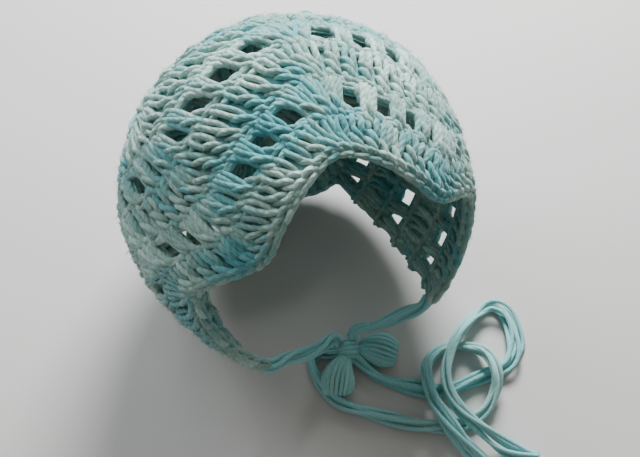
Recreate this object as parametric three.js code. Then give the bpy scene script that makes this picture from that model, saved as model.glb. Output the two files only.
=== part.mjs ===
// A crocheted baby bonnet, shown worn: a round crown, lace rows and a scalloped front row,
// with two chin ties that meet in a bow under the chin and run out over the table.
// Millimetres, +Z up, the face looks along -Y. The origin is where the bonnet sits on the top of the head.
import * as THREE from "three";

// Driving sizes.
const headRadius = 55;
const wall = 3;
const easeBack = 3.5;
const easeFront = 1.5;
const rowDepth = 14;
const ridge = 0.6;
const groove = 0.3;
const edgeBead = 0.5;
const cornerFlare = 1;
const gap = 0.3;
const tieDiameter = 5;
const knotDiameter = 9.4;

// How the bonnet leans on the head: the loose back sags backwards and to one side.
const slouchBack = new THREE.Vector3(-3, 3, 3);
const slouchFront = new THREE.Vector3(-1.5, 0, -0.5);
const crownTilt = 21;
const crownTurn = 2.5;
const patternTurn = 4;
const rowDrift = 0.3;

// The zigzag front edge for half of the bonnet: stitch column, angle round the crown and angle from its middle.
const edgeTable = [
  { column: 0, around: 0, reach: 126 },
  { column: 5.5, around: 31, reach: 136 },
  { column: 9, around: 50.8, reach: 140.3 },
  { column: 11.5, around: 62, reach: 137 },
  { column: 16, around: 86.5, reach: 119 },
  { column: 25, around: 138.8, reach: 124.5 },
];
const endColumn = 25;
const napeReach = 38;
const napeColumns = 14;
const tipRounding = 0.8;

// Rows are counted from the front edge: 1 is the scalloped row, 2, 4 and 6 are eyelet rows, 3 and 5 solid.
const lastRow = 6;
const eyeletColumns = [2, 4, 6, 8, 10, 12, 14, 18, 20, 22, 24];
const plainColumns = [0, 9, 16, 25];
const eyeletHalfWidth = 0.42;
const eyeletTop = 0.2;
const eyeletFoot = 0.82;
const eyeletBelly = 0.1;
const postLean = 0.45;
const stitchSlant = 0.2;
const crownRoundness = 0.35;
const meanReach = 129;
const crownRounds = 4;

// Angles in degrees, as they are written above.
const radians = THREE.MathUtils.degToRad;
const rowAngle = THREE.MathUtils.radToDeg(rowDepth / (headRadius + wall + easeFront));
const smooth = (value, from, to) => THREE.MathUtils.smoothstep(value, from, to);

// The crown's axis points back and down; above is the way to the top of the head, beside is the wearer's left.
const crownAxis = new THREE.Vector3(
  -Math.sin(radians(crownTurn)),
  Math.cos(radians(crownTurn)) * Math.cos(radians(crownTilt)),
  -Math.cos(radians(crownTurn)) * Math.sin(radians(crownTilt)),
);
const above = new THREE.Vector3(0, 0, 1).addScaledVector(crownAxis, -crownAxis.z).normalize();
const beside = new THREE.Vector3().crossVectors(crownAxis, above);

// The unit direction from the head's centre at an angle from the crown's middle and an angle round it.
function direction(reach, around) {
  return new THREE.Vector3()
    .addScaledVector(crownAxis, Math.cos(radians(reach)))
    .addScaledVector(above, Math.sin(radians(reach)) * Math.cos(radians(around)))
    .addScaledVector(beside, Math.sin(radians(reach)) * Math.sin(radians(around)));
}

// Straight lines between the table's rows, the same on both sides of the middle.
function fromTable(column, field) {
  const at = Math.min(Math.abs(column), endColumn);
  const next = Math.max(1, edgeTable.findIndex((row) => row.column >= at));
  const [a, b] = [edgeTable[next - 1], edgeTable[next]];
  return a[field] + ((b[field] - a[field]) * (at - a.column)) / (b.column - a.column);
}

// The front edge's angle from the crown's middle, with its tips and valleys rounded by a short average.
function edgeReach(column) {
  const steps = [-1, -0.5, 0, 0.5, 1].map((step) => step * tipRounding);
  const mean = steps.reduce((sum, step) => sum + fromTable(column + step, "reach"), 0) / steps.length;
  return Math.abs(column) > endColumn - tipRounding ? fromTable(column, "reach") : mean;
}

// A row's angle from the crown's middle; the last rows lose some of their zigzag, so the crown is rounder.
function rowReach(column, row) {
  const zigzag = edgeReach(column) - meanReach;
  return meanReach + zigzag * (1 - crownRoundness * smooth(row, 4, lastRow)) - rowAngle * row;
}

// The angle round the crown's axis of a stitch column in a row; columns past the last run on round the nape.
function aroundOf(column, row) {
  const side = Math.sign(column);
  const past = Math.max(0, Math.abs(column) - endColumn);
  const last = edgeTable[edgeTable.length - 1].around;
  const napeStep = (2 * (180 - last)) / napeColumns;
  return patternTurn + rowDrift * row + side * (fromTable(column, "around") + past * napeStep);
}

// The outer radius without stitch relief: loose at the back, close to the head at the front.
function plainRadius(reach, way, column) {
  const front = smooth(reach, 78, 115);
  const ease = THREE.MathUtils.lerp(easeBack, easeFront, front);
  const lean = new THREE.Vector3().lerpVectors(slouchBack, slouchFront, front);
  const flare = cornerFlare * smooth(Math.abs(column), 19, endColumn) * smooth(reach, 95, 120);
  return headRadius + wall + ease + lean.dot(way) + flare;
}

// A point of the fabric: column and row, and how deep under the outer surface (0 outside, 1 inside).
function fabricPoint(column, row, depth, relief) {
  const reach = rowReach(column, row);
  const way = direction(reach, aroundOf(column, row));
  return way.multiplyScalar(plainRadius(reach, way, column) - depth * wall + (depth ? 0 : relief));
}

// Stitch columns lean within an eyelet row, away from the valleys, and lean back in the solid row next to it.
function leanOf(column, row) {
  const at = Math.abs(column);
  const marks = plainColumns.map((mark) => Math.min(1, Math.abs(at - mark) / 1.6));
  const way = at > 9 && at < 16 ? -1 : 1;
  const swing = Math.abs(((row + 1) % 2) - 1) - 0.5;
  const slant = Math.abs(column) < endColumn - 1 ? stitchSlant : 0;
  return -2 * swing * (Math.sign(column) * way * Math.min(...marks) * postLean - slant);
}

// A closed solid from a grid of kept cells between an outer and an inner surface.
// Where a kept cell has no kept neighbour, a wall closes it; a round grid joins its last column to its first.
function gridSolid({ across, down, round, outer, inner, kept }) {
  const points = [];
  const place = new Map();
  const node = (i, j, inside) => {
    const column = round ? i % across : i;
    const point = inside ? inner(column, j) : outer(column, j);
    const key = point.toArray().map((v) => v.toFixed(5)).join() + inside;
    if (!place.has(key)) {
      place.set(key, points.length);
      points.push(point);
    }
    return place.get(key);
  };
  const faces = [];
  const quad = (a, b, c, d) => {
    for (const face of [[a, b, c], [a, c, d]]) {
      if (new Set(face).size === 3) faces.push(...face);
    }
  };
  const has = (i, j) => {
    if (j < 0 || j >= down) return false;
    if (!round && (i < 0 || i >= across)) return false;
    return kept((i + across) % across, j);
  };
  for (let i = 0; i < across; i += 1) {
    for (let j = 0; j < down; j += 1) {
      if (!has(i, j)) continue;
      const corner = (inside) => [
        node(i, j, inside), node(i + 1, j, inside), node(i + 1, j + 1, inside), node(i, j + 1, inside),
      ];
      const [a, b, c, d] = corner(false);
      const [e, f, g, h] = corner(true);
      quad(a, b, c, d);
      quad(e, h, g, f);
      if (!has(i, j - 1)) quad(a, e, f, b);
      if (!has(i + 1, j)) quad(b, f, g, c);
      if (!has(i, j + 1)) quad(c, g, h, d);
      if (!has(i - 1, j)) quad(d, h, e, a);
    }
  }
  const geometry = new THREE.BufferGeometry();
  geometry.setAttribute("position", new THREE.Float32BufferAttribute(points.flatMap((p) => p.toArray()), 3));
  geometry.setIndex(faces);
  return geometry;
}

// The stitch columns' edges over the whole front: both sides of each eyelet, and the tips and valleys.
const halfLines = [
  ...eyeletColumns.flatMap((column) => [column - eyeletHalfWidth, column + eyeletHalfWidth]),
  ...plainColumns,
].sort((a, b) => a - b);
const columnLines = [...halfLines.filter((c) => c > 0).map((c) => -c).reverse(), ...halfLines];

// The grid's lines down a row, with the relief there: a solid row is a rib, an eyelet row is flat.
const solidLines = [{ at: 0, relief: -groove }, { at: 0.33, relief: ridge }, { at: 0.67, relief: ridge }];
const eyeletLines = [
  { at: 0, relief: -groove },
  { at: eyeletTop, relief: 0 },
  { at: (eyeletTop + eyeletFoot) / 2, relief: 0, belly: 1 },
  { at: eyeletFoot, relief: 0 },
];
const edgingLines = [
  { at: 0, relief: 0 },
  { at: 0.1, relief: edgeBead },
  { at: 0.24, relief: edgeBead },
  { at: 0.36, relief: 0 },
  { at: 0.6, relief: ridge },
];

function rowLines(row) {
  const lines = row === 1 ? edgingLines : row % 2 ? solidLines : eyeletLines;
  return lines.map((line) => ({ ...line, row: row - 1 + line.at, eyelets: row % 2 === 0 }));
}

// Rows first to last, one closed piece of fabric; eyelets are cells left out of its eyelet rows.
function fabricRows(first, last, trim) {
  const lines = [];
  for (let row = first; row <= last; row += 1) lines.push(...rowLines(row));
  lines.push({ row: last, relief: -groove });
  const isEyelet = (i) => {
    const middle = Math.abs((columnLines[i] + columnLines[i + 1]) / 2);
    return eyeletColumns.some((column) => Math.abs(column - middle) < 0.01);
  };
  const nearest = (i) => Math.sign(columnLines[i]) * eyeletColumns.reduce((best, column) => (
    Math.abs(column - Math.abs(columnLines[i])) < Math.abs(best - Math.abs(columnLines[i])) ? column : best
  ));
  const at = (i, j, depth) => {
    const line = lines[j];
    let column = columnLines[i];
    const besideEyelet = Math.abs(Math.abs(column - nearest(i)) - eyeletHalfWidth) < 0.01;
    if (line.belly && besideEyelet) column += Math.sign(column - nearest(i)) * eyeletBelly;
    const row = line.row + (j === 0 ? trim.front : 0) - (j === lines.length - 1 ? trim.back : 0);
    return fabricPoint(column + leanOf(columnLines[i], line.row), row, depth, line.relief);
  };
  return gridSolid({
    across: columnLines.length - 1,
    down: lines.length - 1,
    round: false,
    outer: (i, j) => at(i, j, 0),
    inner: (i, j) => at(i, j, 1),
    kept: (i, j) => !(isEyelet(i) && lines[j].eyelets && lines[j].at >= eyeletTop && lines[j].at < eyeletFoot),
  });
}

// The crown: rounds of stitches, from the last row in to its middle, closed over the nape as well.
function crown(trim) {
  const columns = [...columnLines];
  for (let i = 1; i < napeColumns; i += 1) columns.push(endColumn + i);
  const lines = [];
  for (let round = 0; round < crownRounds; round += 1) {
    for (const line of solidLines) lines.push({ share: 1 - (round + line.at) / crownRounds, relief: line.relief });
  }
  lines.push({ share: 0, relief: 0 });
  const rim = (column) => {
    const past = Math.max(0, Math.abs(column) - endColumn) / (napeColumns / 2);
    const last = rowReach(Math.min(Math.abs(column), endColumn), lastRow + trim);
    const nape = 1 - Math.abs(1 - past);
    return THREE.MathUtils.lerp(last, napeReach, smooth(nape, 0, 1));
  };
  const at = (i, j, depth) => {
    const column = columns[i];
    const reach = rim(column) * lines[j].share;
    const lean = leanOf(Math.min(Math.abs(column), endColumn) * Math.sign(column), lastRow) * lines[j].share;
    const way = direction(reach, aroundOf(column + lean, lastRow));
    const radius = plainRadius(reach, way, 0) - depth * wall + (depth ? 0 : lines[j].relief);
    return way.multiplyScalar(radius);
  };
  return gridSolid({
    across: columns.length,
    down: lines.length - 1,
    round: true,
    outer: (i, j) => at(i, j, 0),
    inner: (i, j) => at(i, j, 1),
    kept: () => true,
  });
}

// The head's centre lies under the origin by the inner radius at the top, and the table under the head.
const upReach = THREE.MathUtils.radToDeg(crownAxis.angleTo(new THREE.Vector3(0, 0, 1)));
const seatHeight = plainRadius(upReach, new THREE.Vector3(0, 0, 1), 0) - wall;
const table = -headRadius;

// The ties lie on the table, as bundles of loose yarn; where one passes over another it is lifted clear.
const low = table + tieDiameter / 2;
const high = low + 1.15 * tieDiameter + gap;
const knotRadius = knotDiameter / 2;
const knotPlace = new THREE.Vector3(0.5, -40.5, table + knotRadius + 0.1);

// Routes of the two free tails, from the knot to their ends: across, along and level (0 low, 1 high).
const tailRouteRight = [
  [-5.6, -38.6, 0], [-10.2, -36.6, 0], [-13.8, -38.8, 0], [-14.6, -43.5, 0], [-13.8, -49, 0],
  [-10.8, -56.2, 0], [-5.5, -62.4, 0], [1.5, -68.2, 0], [10.5, -74.6, 0], [20, -80, 0], [30, -82.2, 0],
  [39, -80.6, 0], [45, -75.5, 0.5], [47.5, -69, 1], [47.6, -62, 0.8], [44.6, -56.4, 0.1], [38.5, -53, 0],
  [31.5, -53, 0], [25.6, -56.6, 0.5], [22.6, -63.5, 1], [21.8, -71, 0.8], [22.6, -78.5, 1], [24, -86, 1],
  [26.4, -93.5, 0.4], [29.5, -100, 0],
];
const tailRouteLeft = [
  [3.2, -46.2, 0], [5.6, -51.6, 0], [10.5, -57.8, 0], [17, -62.6, 0], [24, -66, 0], [32, -68.2, 0],
  [40, -68.4, 0], [47.5, -68, 0], [55, -66.8, 0], [60.5, -61.8, 0], [62.8, -54.5, 0], [62.4, -47.5, 0],
  [58.2, -43.4, 0], [52, -44.6, 0], [45.5, -48, 0.6], [38.5, -52.6, 1], [33, -58.5, 0.9], [29, -66, 1],
  [28.2, -73.5, 1], [29.6, -80.5, 1], [32.6, -87, 1], [37.4, -93.6, 0.4], [43.5, -100, 0], [48.5, -104.5, 0],
];
const laid = (route) => route.map(([x, y, level]) => new THREE.Vector3(x, y, low + (high - low) * level));

function tube(points, diameter, steps) {
  const section = new THREE.Shape();
  const sides = 8;
  for (let i = 0; i < sides; i += 1) {
    const turn = (2 * Math.PI * (i + 0.5)) / sides;
    const radius = diameter / 2 / Math.cos(Math.PI / sides);
    const [x, y] = [radius * Math.cos(turn), radius * Math.sin(turn)];
    if (i) section.lineTo(x, y);
    else section.moveTo(x, y);
  }
  section.closePath();
  const path = new THREE.CatmullRomCurve3(points, false, "centripetal");
  return new THREE.ExtrudeGeometry(section, { steps, bevelEnabled: false, extrudePath: path });
}

// A tie from a corner of the front row, round under the chin, to the knot.
function chinTie(side) {
  const corner = fabricPoint(side * endColumn, 0.4, 0.5, 0);
  const beyond = fabricPoint(side * endColumn, 0.4, 0.5, 0)
    .sub(fabricPoint(side * (endColumn - 0.5), 0.4, 0.5, 0)).normalize();
  const start = corner.clone().addScaledVector(beyond, 2 * gap + tieDiameter * 0.1);
  const knotWay = new THREE.Vector3(side * 0.55, 0.5, 0.68).normalize();
  const end = knotPlace.clone().addScaledVector(knotWay, knotRadius + 2 * gap);
  const before = knotPlace.clone().addScaledVector(knotWay, knotRadius + 2 * gap + tieDiameter * 0.6);
  const close = headRadius + tieDiameter / 2 + gap;
  const points = [start, start.clone().addScaledVector(beyond, tieDiameter * 0.8)];
  const [from, to] = [points[1].clone().normalize(), before.clone().normalize()];
  for (const share of [0.25, 0.5, 0.75]) {
    const radius = THREE.MathUtils.lerp(points[1].length(), before.length(), share);
    points.push(from.clone().lerp(to, share).setLength(Math.max(close, radius * 0.97)));
  }
  points.push(before, end);
  return tube(points, tieDiameter, 16);
}

// A loop of the bow: a plump drop, as sections along its middle with their width and height.
function bowLoop(sections) {
  const sides = 14;
  const middle = sections.map(({ at }) => new THREE.Vector3(...at));
  const ring = (s, i) => {
    const along = middle[Math.min(s + 1, middle.length - 1)].clone().sub(middle[Math.max(s - 1, 0)]).normalize();
    const across = new THREE.Vector3(-along.y, along.x, 0).normalize();
    const upward = new THREE.Vector3().crossVectors(along, across);
    const turn = (2 * Math.PI * i) / sides;
    return middle[s].clone()
      .addScaledVector(across, (Math.cos(turn) * sections[s].wide) / 2)
      .addScaledVector(upward, (Math.sin(turn) * sections[s].tall) / 2);
  };
  const points = [];
  const faces = [];
  for (let s = 0; s < sections.length; s += 1) {
    for (let i = 0; i < sides; i += 1) points.push(ring(s, i));
  }
  const [first, last] = [points.length, points.length + 1];
  points.push(middle[0], middle[middle.length - 1]);
  const end = (sections.length - 1) * sides;
  for (let i = 0; i < sides; i += 1) {
    const next = (i + 1) % sides;
    for (let s = 0; s + 1 < sections.length; s += 1) {
      const [a, b, c, d] = [s * sides + i, s * sides + next, (s + 1) * sides + next, (s + 1) * sides + i];
      faces.push(a, b, c, a, c, d);
    }
    faces.push(first, next, i, last, end + i, end + next);
  }
  const geometry = new THREE.BufferGeometry();
  geometry.setAttribute("position", new THREE.Float32BufferAttribute(points.flatMap((p) => p.toArray()), 3));
  geometry.setIndex(faces);
  return geometry;
}

// Sections of the two loops: middle, width and height as shares of the tie's diameter, over the table.
const loopSections = (rows) => rows.map(([x, y, wide, tall]) => ({
  at: [x, y, table + (tall * tieDiameter) / 2],
  wide: wide * tieDiameter,
  tall: tall * tieDiameter,
}));
const rightLoop = loopSections([
  [-3.4, -44.9, 0.8, 1.2], [-4.3, -46.7, 1.45, 1.5], [-5.3, -48.8, 1.78, 1.65], [-6.2, -51, 1.64, 1.5],
  [-6.8, -52.8, 1.15, 1.1], [-7.2, -54, 0.4, 0.6],
]);
const leftLoop = loopSections([
  [6.9, -41.4, 0.8, 1.1], [8.4, -42, 1.5, 1.5], [10.4, -43, 2.2, 1.75], [13.2, -44.4, 2.2, 1.7],
  [15.6, -45.6, 1.6, 1.4], [17, -46.2, 0.6, 0.8],
]);

function knot() {
  const geometry = new THREE.SphereGeometry(knotRadius, 16, 10);
  geometry.deleteAttribute("normal");
  geometry.deleteAttribute("uv");
  return geometry.translate(knotPlace.x, knotPlace.y, knotPlace.z);
}

// Yarn colours of the pieces, from teal to pale mint.
const yarns = { teal: 0x6fa9ad, mint: 0x9fc2bb, grey: 0x8aa8a0, tie: 0x7fb4b8 };
const worn = new THREE.Group();
worn.position.z = -seatHeight;

function add(name, geometry, colour) {
  const material = new THREE.MeshStandardMaterial({ color: colour, roughness: 0.9, metalness: 0 });
  const mesh = new THREE.Mesh(geometry, material);
  mesh.name = name;
  worn.add(mesh);
}

const trimRow = gap / rowDepth / 2;
add("crown", crown(trimRow), yarns.mint);
add("lace_body", fabricRows(2, lastRow, { front: trimRow, back: trimRow }), yarns.teal);
add("front_edging", fabricRows(1, 1, { front: 0, back: trimRow }), yarns.grey);
add("chin_tie_left", chinTie(1), yarns.tie);
add("chin_tie_right", chinTie(-1), yarns.tie);
add("bow_knot", knot(), yarns.teal);
add("bow_loop_right", bowLoop(rightLoop), yarns.tie);
add("bow_loop_left", bowLoop(leftLoop), yarns.tie);
add("tie_tail_right", tube(laid(tailRouteRight), tieDiameter, 75), yarns.tie);
add("tie_tail_left", tube(laid(tailRouteLeft), tieDiameter, 75), yarns.tie);

const bonnet = new THREE.Group();
bonnet.add(worn);

export default bonnet;
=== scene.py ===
"""A crocheted baby bonnet, shown worn: every stitch is modelled yarn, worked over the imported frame.

Lengths in the tables and functions are millimetres and angles are degrees; meshes are made in metres.
"""

import math

import bpy
import numpy as np
from bpy.props import FloatProperty, FloatVectorProperty, IntProperty, PointerProperty
from mathutils import Matrix, Vector


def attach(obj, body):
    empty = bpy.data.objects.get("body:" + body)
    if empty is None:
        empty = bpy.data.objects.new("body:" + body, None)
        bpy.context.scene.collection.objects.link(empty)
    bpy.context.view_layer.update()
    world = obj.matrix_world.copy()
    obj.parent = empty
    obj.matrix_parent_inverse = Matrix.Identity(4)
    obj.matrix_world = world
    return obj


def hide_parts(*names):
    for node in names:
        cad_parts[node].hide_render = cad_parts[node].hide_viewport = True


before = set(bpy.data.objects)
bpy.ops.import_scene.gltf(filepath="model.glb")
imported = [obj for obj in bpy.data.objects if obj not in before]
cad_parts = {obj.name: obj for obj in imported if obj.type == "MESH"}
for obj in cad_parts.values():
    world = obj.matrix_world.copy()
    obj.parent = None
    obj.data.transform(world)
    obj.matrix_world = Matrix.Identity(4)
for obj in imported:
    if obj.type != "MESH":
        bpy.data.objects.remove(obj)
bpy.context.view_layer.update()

bl_info = {
    "name": "Crocheted Baby Bonnet",
    "version": (1, 0, 0),
    "blender": (4, 5, 0),
    "location": "3D View > Sidebar > Bonnet",
    "description": "Works a crocheted bonnet with its ties, stitch by stitch",
    "category": "Add Mesh",
}

# The form of the fabric, as in the frame.
HEAD_RADIUS = 55.0
WALL = 3.0
EASE_BACK = 3.5
EASE_FRONT = 1.5
ROW_DEPTH = 14.0
CORNER_FLARE = 1.0
SLOUCH_BACK = np.array([-3.0, 3.0, 3.0])
SLOUCH_FRONT = np.array([-1.5, 0.0, -0.5])
CROWN_TILT = 21.0
CROWN_TURN = 2.5
PATTERN_TURN = 4.0
ROW_DRIFT = 0.3
CROWN_ROUNDNESS = 0.35
MEAN_REACH = 129.0
TIP_ROUNDING = 0.8
NAPE_REACH = 38.0
NAPE_COLUMNS = 14
END_COLUMN = 25
LAST_ROW = 6
TIE_DIAMETER = 5.0
GAP = 0.3
KNOT_DIAMETER = 9.4

# Angles from the crown's middle over which the ease turns from loose to close and the corners come to flare,
# the column where the flare begins, and the row where the zigzag begins to fade.
EASE_TURNS = (78, 115)
FLARE_TURNS = (95, 120)
FLARE_COLUMN = 19
FADING_ROW = 4

# The zigzag front edge for half of the bonnet: stitch column, angle round the crown, angle from its middle.
EDGE_COLUMN = np.array([0, 5.5, 9, 11.5, 16, 25])
EDGE_AROUND = np.array([0, 31, 50.8, 62, 86.5, 138.8])
EDGE_REACH = np.array([126, 136, 140.3, 137, 119, 124.5])

ROW_ANGLE = math.degrees(ROW_DEPTH / (HEAD_RADIUS + WALL + EASE_FRONT))
WHOLE_TURN = 2 * END_COLUMN + NAPE_COLUMNS


def unit(vectors):
    """The vectors at length 1."""
    return vectors / np.maximum(np.linalg.norm(vectors, axis=-1, keepdims=True), 1e-9)


def length_along(lines):
    """The length along each line of points, at each of its points."""
    steps = np.linalg.norm(np.diff(lines, axis=-2), axis=-1)
    return np.concatenate([np.zeros((*steps.shape[:-1], 1)), np.cumsum(steps, axis=-1)], axis=-1)


def crown_frame():
    """The crown's axis, the way from it to the top of the head, and the way to the wearer's left."""
    turn, tilt = math.radians(CROWN_TURN), math.radians(CROWN_TILT)
    axis = np.array([
        -math.sin(turn),
        math.cos(turn) * math.cos(tilt),
        -math.cos(turn) * math.sin(tilt),
    ])
    above = unit(np.array([0, 0, 1]) - axis[2] * axis)
    return axis, above, np.cross(axis, above)


AXIS, ABOVE, BESIDE = crown_frame()


def smooth(value, low, high):
    """A smooth step from 0 at low to 1 at high."""
    t = np.clip((value - low) / (high - low), 0, 1)
    return t * t * (3 - 2 * t)


def direction(reach, around):
    """The unit way from the head's middle at an angle from the crown's middle and an angle round it."""
    reach, around = np.radians(reach)[..., None], np.radians(around)[..., None]
    ring = np.cos(around) * ABOVE + np.sin(around) * BESIDE
    return np.cos(reach) * AXIS + np.sin(reach) * ring


def edge_reach(column):
    """The front edge's angle from the crown's middle: straight legs with tips rounded by a short mean."""
    at = np.minimum(np.abs(column), END_COLUMN)
    steps = [-1, -0.5, 0, 0.5, 1]
    mean = sum(np.interp(np.abs(at + s * TIP_ROUNDING), EDGE_COLUMN, EDGE_REACH) for s in steps) / 5
    return np.where(at > END_COLUMN - TIP_ROUNDING, np.interp(at, EDGE_COLUMN, EDGE_REACH), mean)


def row_reach(column, row):
    """A row's angle from the crown's middle; the last rows lose some of their zigzag."""
    zigzag = edge_reach(column) - MEAN_REACH
    left = 1 - CROWN_ROUNDNESS * smooth(row, FADING_ROW, LAST_ROW)
    return MEAN_REACH + zigzag * left - ROW_ANGLE * row


def around_of(column, row):
    """The angle round the crown of a stitch column; columns past the last run on round the nape."""
    at = np.abs(column)
    nape_step = 2 * (180 - EDGE_AROUND[-1]) / NAPE_COLUMNS
    angle = np.interp(at, EDGE_COLUMN, EDGE_AROUND) + np.maximum(0, at - END_COLUMN) * nape_step
    return PATTERN_TURN + ROW_DRIFT * row + np.sign(column) * angle


def plain_radius(reach, way, column):
    """The outer radius: loose at the back, close to the head at the front, flared at the two corners."""
    front = smooth(reach, *EASE_TURNS)
    ease = EASE_BACK + (EASE_FRONT - EASE_BACK) * front
    lean = SLOUCH_BACK + (SLOUCH_FRONT - SLOUCH_BACK) * front[..., None]
    flare = CORNER_FLARE * smooth(np.abs(column), FLARE_COLUMN, END_COLUMN) * smooth(reach, *FLARE_TURNS)
    return HEAD_RADIUS + WALL + ease + (lean * way).sum(-1) + flare


def seat_height():
    """How far the head's middle lies under the origin: the inner radius at the top of the head."""
    top = np.array([0.0, 0.0, 1.0])
    reach = np.degrees(np.arccos(AXIS @ top))
    return float(plain_radius(np.array(reach), top, np.array(0.0))) - WALL


SEAT = seat_height()


def on_fabric(column, row, lift):
    """A point of the fabric at a column and a row, lifted from the middle of the wall by so many mm."""
    column, row = np.broadcast_arrays(np.asarray(column, float), np.asarray(row, float))
    reach = row_reach(column, row)
    way = direction(reach, around_of(column, row))
    return way * (plain_radius(reach, way, column) - WALL / 2 + lift)[..., None]


def crown_rim(column):
    """The crown's edge: the last row, and over the nape a smooth dip."""
    at = np.abs(column)
    past = np.maximum(0, at - END_COLUMN) / (NAPE_COLUMNS / 2)
    last = row_reach(np.minimum(at, END_COLUMN), np.full(np.shape(at), float(LAST_ROW)))
    nape = smooth(1 - np.abs(1 - past), 0, 1)
    return last + (NAPE_REACH - last) * nape


def on_crown(turn, share, lift):
    """A point of the crown: turn is the column, counted on round the nape, and share is 1 at the rim."""
    turn, share = np.broadcast_arrays(np.asarray(turn, float), np.asarray(share, float))
    column = (turn + END_COLUMN) % WHOLE_TURN - END_COLUMN
    reach = crown_rim(column) * share
    way = direction(reach, around_of(column, np.full(column.shape, float(LAST_ROW))))
    return way * (plain_radius(reach, way, np.zeros(column.shape)) - WALL / 2 + lift)[..., None]


def with_ends(points):
    """The points, with one more before the first and after the last, as far off as the next one is."""
    return np.vstack([2 * points[0] - points[1], points, 2 * points[-1] - points[-2]])


def spline_weights(count, rings):
    """Weights that turn count points into rings points on a smooth curve through them.

    Each ring lies between two points, and a cubic of its place there weighs these and their neighbours.
    """
    ends = with_ends(np.eye(count))
    at = np.linspace(0, count - 1, rings)
    before = np.minimum(at.astype(int), count - 2)
    t = at - before
    basis = np.stack([
        -0.5 * t + t * t - 0.5 * t**3,
        1 - 2.5 * t * t + 1.5 * t**3,
        0.5 * t + 2 * t * t - 1.5 * t**3,
        -0.5 * t * t + 0.5 * t**3,
    ], 1)
    return np.einsum("rk,rkc->rc", basis, ends[before[:, None] + np.arange(4)])


# Sides of a strand in front, of a hidden one and of a fibre, and rings along a strand for its sides.
FRONT_SIDES = 8
HIDDEN_SIDES = 6
FIBRE_SIDES = 3
STRAND_RINGS = {FRONT_SIDES: 10, HIDDEN_SIDES: 8}
# How far each strand's pattern is moved along from the one before it, in mm.
STRAND_OFFSET = 37.7
# A fibre's half thickness in mm at its four points, and how far it stands out.
FIBRE_RADII = np.array([0.08, 0.07, 0.05, 0.03])
FIBRE_REACH = (0.5, 1.5)


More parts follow.
